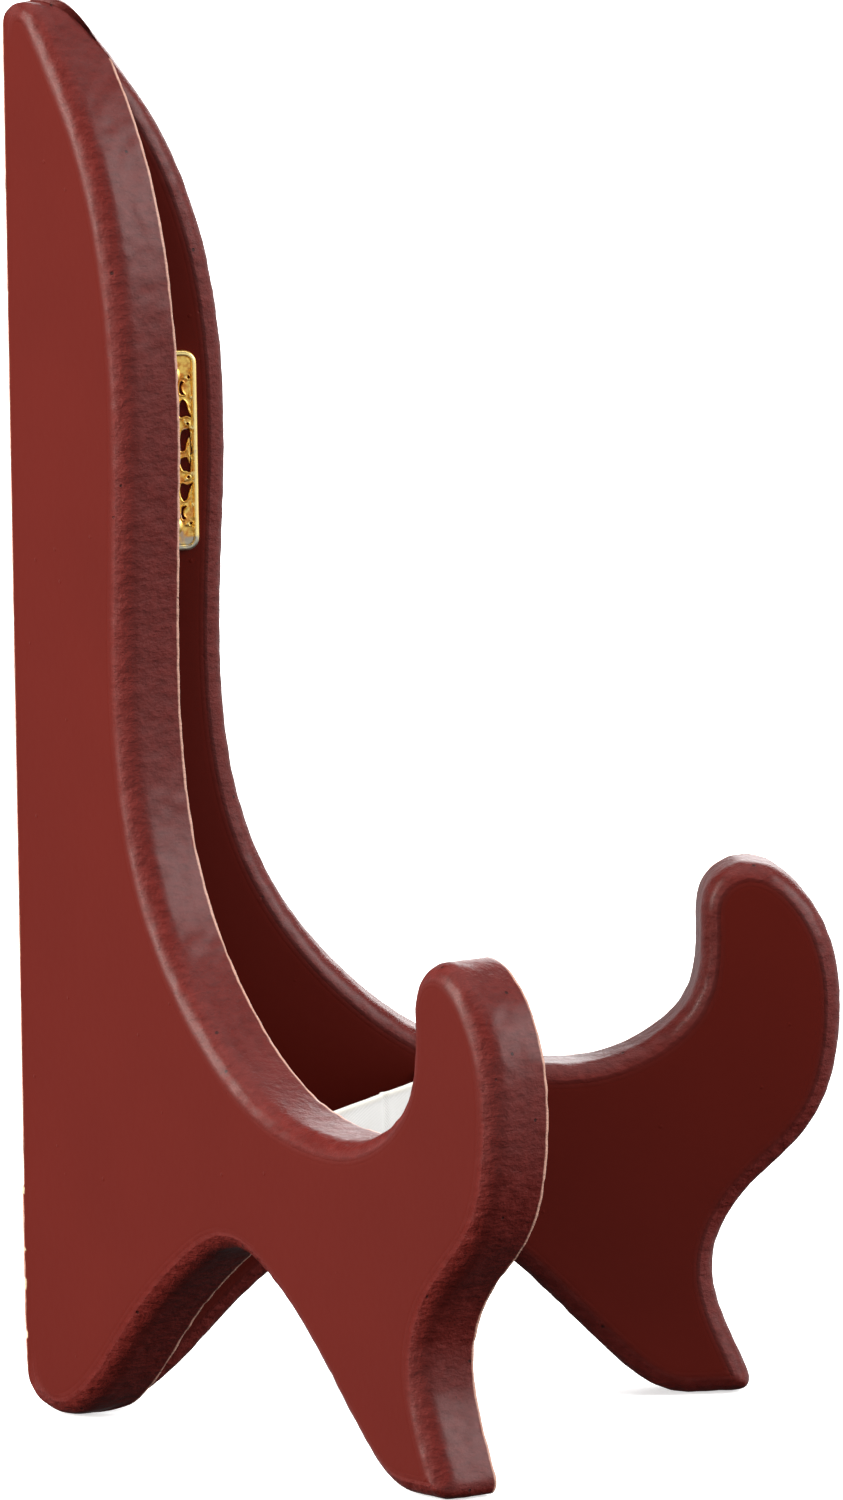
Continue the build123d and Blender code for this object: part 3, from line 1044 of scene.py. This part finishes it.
# %% One nail, set eight times
def turned_nail():
    """A domed nail with its head's underside at height 0 and its point up, in millimetres."""
    profile = [(0.0, -0.46), (0.30, -0.45), (0.62, -0.39), (0.92, -0.27), (1.12, -0.13), (1.22, -0.02),
               (1.20, 0.03), (0.50, 0.04), (0.47, 5.3), (0.40, 5.8), (0.18, 6.6), (0.0, 6.9)]
    around = 28
    places, faces = [(0.0, 0.0, profile[0][1])], []
    for radius, height in profile[1:-1]:
        places += [(radius * math.cos(turn), radius * math.sin(turn), height)
                   for turn in np.linspace(0, math.tau, around, endpoint=False)]
    places.append((0.0, 0.0, profile[-1][1]))
    last = len(places) - 1
    for here in range(around):
        after = (here + 1) % around
        faces.append((0, 1 + after, 1 + here))
        for row in range(len(profile) - 3):
            first = 1 + row * around
            faces.append((first + here, first + after, first + around + after, first + around + here))
        faces.append((last - around + here, last - around + after, last))
    places = np.array(places)
    head = ramp(places[:, 2], 0.03, -0.1)
    places[:, 2] += head * 0.07 * ramp(lumps(places, 0.9, 11), 0.0, 0.4)
    places[:, :2] *= (1 + head * 0.05 * lumps(places, 1.4, 12))[:, None]
    mesh = solid_mesh("turned_nail", places, faces)
    write_places(mesh, read_places(mesh) * MM)
    paint_by(mesh, "relief", np.clip(-read_places(mesh)[:, 2] / (0.4 * MM), 0, 1))
    paint_by(mesh, "worn_plating", np.zeros(len(mesh.vertices)))
    return bpy.data.objects.new("turned_nail", mesh)


pattern_nail = turned_nail()
for bench in benches.values():
    spots = [(bench.pin[0] + nail_reach, middle + side * nail_spread, -plate)
             for middle in hinge_middles.values() for side in (-1, 1)]
    points = bpy.data.meshes.new("nail_spots")
    points.from_pydata([tuple(spot) for spot in bench.stand(spots)], [], [])
    nails_mesh = nailer.run(f"{bench.name}_nails", points, {
        "Nail": pattern_nail, "Direction": tuple(bench.axes[2]), "Size": 1.0, "Seed": 4, "Material": brass})
    nails = add_piece(f"{bench.name}_nails", nails_mesh, brass, bench.body, sharp=45)
    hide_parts(*[f"{level}_{bench.name}_{end}_nail"
                         for level in hinge_middles for end in ("top", "bottom")])
    print(nails.name, len(nails_mesh.polygons), "faces")
bpy.data.objects.remove(pattern_nail)

for level in hinge_middles:
    pin_piece = frame["nodes"][f"{level}_pin"]
    pin_piece.data.materials[0] = pin_brass
print("pins keep their engineering shape")

# %% [markdown]
# ## The stay tape and its staples
#
# A strip of white woven tape, 12 mm wide, runs straight across between the boards. Its ends turn back along
# the inner faces and a wire staple holds each. It is pulled tight by the opened boards, so it is modelled
# flat, with the small facts that show it is cloth: thick selvedges, a faint cockle, and the crease in its
# middle where it folds each time the stand is closed. The staple is bent wire, so a rig sweeps a round
# section along its path and rounds the bends.

# %% Weave the tape
tape_low, tape_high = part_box("stay_tape")
tape_end = 46.8
tape_thickness = 0.45


def tape_line():
    """The middle line of the tape seen from above, from one tab to the other, in metres."""
    lie = -plate / 2
    front = tape_low[1] + plate / 2 * MM
    left = benches["left"]
    tab = left.stand([(tape_end, 0, lie)])[0][:2]
    forward = left.axes[0][:2]
    corner = tab + forward * (front - tab[1]) / forward[1]
    soft = 0.9 * MM
    share = np.linspace(0, 1, 7)[:, None]
    before, after = corner - forward * soft, corner + np.array((soft, 0))
    bend = before * (1 - share) ** 2 + 2 * corner * share * (1 - share) + after * share ** 2
    half = np.vstack([tab, bend])
    other = half[::-1] * (-1, 1) + (2 * pin_line[0], 0)
    return even_steps(np.vstack([half, other]), 0.3 * MM, closed=False)


def woven_strip():
    """The tape as a thin closed cloth, with how far along and across each point is."""
    line = tape_line()
    along = np.r_[0, np.cumsum(np.linalg.norm(np.diff(line, axis=0), axis=1))]
    run = np.gradient(line, axis=0)
    run /= np.linalg.norm(run, axis=1)[:, None]
    aside = np.column_stack([run[:, 1], -run[:, 0]])
    width = tape_high[2] - tape_low[2]
    rim_steps = np.array([0, 0.12, 0.3, 0.55])
    across = np.r_[rim_steps, np.linspace(0.9, width / MM - 0.9, 26), width / MM - rim_steps[::-1]] * MM
    from_edge = np.minimum(across, width - across)
    thick = tape_thickness * MM / 2 * (0.80 + 0.35 * ramp(from_edge, 0.9 * MM, 0.3 * MM))
    thick = thick * np.sqrt(ramp(from_edge, -0.15 * MM, 0.25 * MM))
    middle, free = along[-1] / 2, ramp(np.minimum(along, along[-1] - along), 7 * MM, 11 * MM)
    crease = 0.42 * MM * np.exp(-((along - middle) / (0.7 * MM)) ** 2)
    places, strip, edges = [], [], []
    for face in (1, -1):
        for index, (x, y) in enumerate(line):
            for column, up in enumerate(across):
                wave = noise.noise(Vector((along[index] / MM / 5, up / MM / 4, 2.0)))
                cockle = 0.10 * MM * wave * free[index]
                offset = face * thick[column] + cockle - crease[index]
                places.append((x + aside[index][0] * offset, y + aside[index][1] * offset, tape_low[2] + up))
                strip.append((up / MM, along[index] / MM))
                # Mask of the raised selvedges, which the finish also paints paler as a painted highlight.
                edges.append(float(ramp(from_edge[column], 0.8 * MM, 0.3 * MM)))
    columns, rows = len(across), len(line)
    sheet = rows * columns
    faces = []
    for row in range(rows - 1):
        for column in range(columns - 1):
            a = row * columns + column
            square = (a, a + columns, a + columns + 1, a + 1)
            faces += [square, tuple(index + sheet for index in square[::-1])]
    rim = [row * columns for row in range(rows)]
    rim += [(rows - 1) * columns + column for column in range(1, columns)]
    rim += [row * columns + columns - 1 for row in reversed(range(rows - 1))]
    rim += reversed(range(1, columns - 1))
    faces += [(here, after, after + sheet, here + sheet) for here, after in zip(rim, rim[1:] + rim[:1])]
    mesh = bpy.data.meshes.new("woven_stay_tape")
    mesh.from_pydata(places, [], faces)
    turn_outward(mesh)
    layer = mesh.uv_layers.new(name="strip")
    corners = np.array([strip[loop.vertex_index] for loop in mesh.loops])
    layer.data.foreach_set("uv", corners.ravel())
    paint_by(mesh, "selvedge", edges)
    return mesh, width, along[-1]


tape_mesh, tape_width, tape_length = woven_strip()
tape = add_piece("woven_stay_tape", tape_mesh, cloth, sharp=60)
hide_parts("stay_tape")
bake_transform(tape)
print("tape", round(tape_width / MM, 1), "by", round(tape_length / MM, 1), "mm")


# %% Bend the staples
def staple_rig():
    rig = Rig("bend_wire", {
        "Wire radius": "NodeSocketFloat", "Bend radius": "NodeSocketFloat", "Material": "NodeSocketMaterial"})
    path = rig.add("GeometryNodeMeshToCurve", {}, {"Mesh": rig.given("Geometry")})
    rounded = rig.add("GeometryNodeFilletCurve", {"mode": "POLY"}, {
        "Curve": path, "Radius": rig.given("Bend radius"), "Count": 6, "Limit Radius": True})
    section = rig.add("GeometryNodeCurvePrimitiveCircle", {"mode": "RADIUS"}, {
        "Resolution": 14, "Radius": rig.given("Wire radius")})
    wire = rig.add("GeometryNodeCurveToMesh", {}, {
        "Curve": rounded, "Profile Curve": section, "Fill Caps": True})
    return rig.close(wire)


bender = staple_rig()
staple_wire = 0.5
for bench in benches.values():
    corners = bench.measure(points_of(f"{bench.name}_staple"))
    low, high = corners.min(axis=0), corners.max(axis=0)
    half = staple_wire / 2
    forward = (low[0] + high[0]) / 2
    crown = -tape_thickness * 0.9 - half
    bends = [(forward, low[1] + half, high[2]), (forward + 0.05, low[1] + half, crown),
             (forward - 0.05, high[1] - half, crown), (forward, high[1] - half, high[2])]
    path = bpy.data.meshes.new("staple_path")
    path.from_pydata([tuple(place) for place in bench.stand(bends)], [(0, 1), (1, 2), (2, 3)], [])
    wire_mesh = bender.run(f"{bench.name}_staple_wire", path, {
        "Wire radius": half * MM, "Bend radius": 0.55 * MM, "Material": steel})
    turn_outward(wire_mesh, merge_within=1e-7)
    staple = add_piece(f"{bench.name}_staple_wire", wire_mesh, steel, bench.body)
    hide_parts(f"{bench.name}_staple")
    print(staple.name, len(wire_mesh.polygons), "faces")

# %% [markdown]
# ## Floor, light and camera
#
# The stand is shown on a plain white floor that runs out of sight. The floor glows a little by itself, so
# that it reads white, and it is hidden from soft and glossy light, so that it throws none up at the stand.
# A soft light behind and to the left falls on the outer face of the left board, one in front grazes both
# front edges, and one on the right reaches round the far side. A weak overhead sun and a band of light round
# the horizon fill in the rest. The inner faces look at little of this, so they stay deep and dark. The
# camera is far away with a long lens, so that upright lines stay upright.

# %% Floor
def floor_finish():
    recipe = Recipe("studio_floor")
    place = recipe.add("ShaderNodeTexCoord", output="Object")
    tone = recipe.noise(place, 0.35, 2.0)
    colour = recipe.mix(tone, (0.90, 0.90, 0.90), (0.93, 0.93, 0.93))
    return recipe.finish(base_color=colour, roughness=0.75 + tone * 0.1, specular_ior_level=0.2,
                         emission_color=(1, 1, 1), emission_strength=0.62)


def studio_floor(reach):
    mesh = bpy.data.meshes.new("studio_floor")
    cells = 8
    marks = [(column / cells * 2 - 1) * reach for column in range(cells + 1)]
    corners = [(x, y, 0.0) for y in marks for x in marks]
    wide = cells + 1
    squares = [(a, a + 1, a + wide + 1, a + wide) for a in range(len(corners) - wide) if a % wide < cells]
    mesh.from_pydata(corners, [], squares)
    mesh.materials.append(floor_finish())
    floor = bpy.data.objects.new("studio_floor", mesh)
    bpy.context.scene.collection.objects.link(floor)
    floor.visible_diffuse = False
    floor.visible_glossy = False
    return floor


floor = studio_floor(reach=6.0)
print("floor", len(floor.data.polygons), "squares")


# %% Light
class Backdrop(Recipe):
    """The nodes of the light that comes from all around."""

    def __init__(self, world):
        world.use_nodes = True
        self.nodes = world.node_tree.nodes
        self.links = world.node_tree.links
        self.nodes.clear()

    def shine(self, colour, strength):
        """Light of that colour from every side, as strong as the wire says for each direction."""
        glow = self.add("ShaderNodeBackground", {}, {"Color": colour, "Strength": strength})
        end = self.nodes.new("ShaderNodeOutputWorld")
        self.links.new(glow.socket, end.inputs["Surface"])


def soft_light(name, direction, distance, size, power, colour=(1, 1, 1)):
    """A square soft light that shines on the middle of the stand from that direction."""
    light = bpy.data.lights.new(name, "AREA")
    light.shape = "RECTANGLE"
    light.size, light.size_y = size
    light.energy = power
    light.color = colour
    lamp = bpy.data.objects.new(name, light)
    toward = Vector(direction).normalized()
    middle = Vector((0, 0, cad_box[1][2] / 2))
    aimed = toward.to_track_quat("Z", "Y").to_matrix().to_4x4()
    lamp.matrix_world = Matrix.Translation(middle + toward * distance) @ aimed
    bpy.context.scene.collection.objects.link(lamp)
    return lamp


lamps = [
    soft_light("key_light", (-0.66, 0.69, 0.33), 0.80, (0.24, 0.62), 12.2, (1.0, 0.94, 0.87)),
    soft_light("front_edge_light", (0.22, -0.86, 0.46), 1.8, (0.9, 0.9), 31),
    soft_light("far_side_light", (0.90, 0.20, 0.30), 1.6, (0.8, 0.8), 14),
]
sky = bpy.data.lights.new("top_light", "SUN")
sky.energy = 2.2
sky.angle = math.radians(70)
overhead = bpy.data.objects.new("top_light", sky)
bpy.context.scene.collection.objects.link(overhead)
world = bpy.data.worlds.new("studio")
backdrop = Backdrop(world)
height = backdrop.add("ShaderNodeSeparateXYZ", {}, {
    "Vector": backdrop.add("ShaderNodeTexCoord", output="Generated")}, output="Z")
backdrop.shine((1.0, 1.0, 1.0), height.math("ABSOLUTE", height).between(0.55, 0.15) * 0.95 + 0.06)
bpy.context.scene.world = world
bpy.context.scene.view_settings.view_transform = "Standard"
print(len(lamps) + 1, "soft lights")


# %% Camera
def add_camera(azimuth, elevation, roll, distance, aim, lens):
    """A camera that looks at aim from that direction. Azimuth 0 looks at the front of the stand."""
    turn, climb, lean = (math.radians(angle) for angle in (azimuth, elevation, roll))
    toward = Vector((math.sin(turn), -math.cos(turn), 0))
    level = Vector((math.cos(turn), math.sin(turn), 0))
    back = toward * math.cos(climb) + Vector((0, 0, math.sin(climb)))
    upward = back.cross(level)
    right = level * math.cos(lean) - upward * math.sin(lean)
    up = level * math.sin(lean) + upward * math.cos(lean)
    data = bpy.data.cameras.new("camera")
    data.sensor_width = 36
    data.lens = lens
    data.clip_end = 40
    camera = bpy.data.objects.new("camera", data)
    turned = Matrix((right, up, back)).transposed().to_4x4()
    camera.matrix_world = Matrix.Translation(Vector(aim) + back * distance) @ turned
    bpy.context.scene.collection.objects.link(camera)
    bpy.context.scene.camera = camera
    return camera


camera = add_camera(azimuth=-65.41, elevation=8.554, roll=0.936, distance=3.558,
                    aim=(0.0271, 0.0039, 0.0810), lens=685.7)
print("camera at", [round(value, 3) for value in camera.matrix_world.translation])
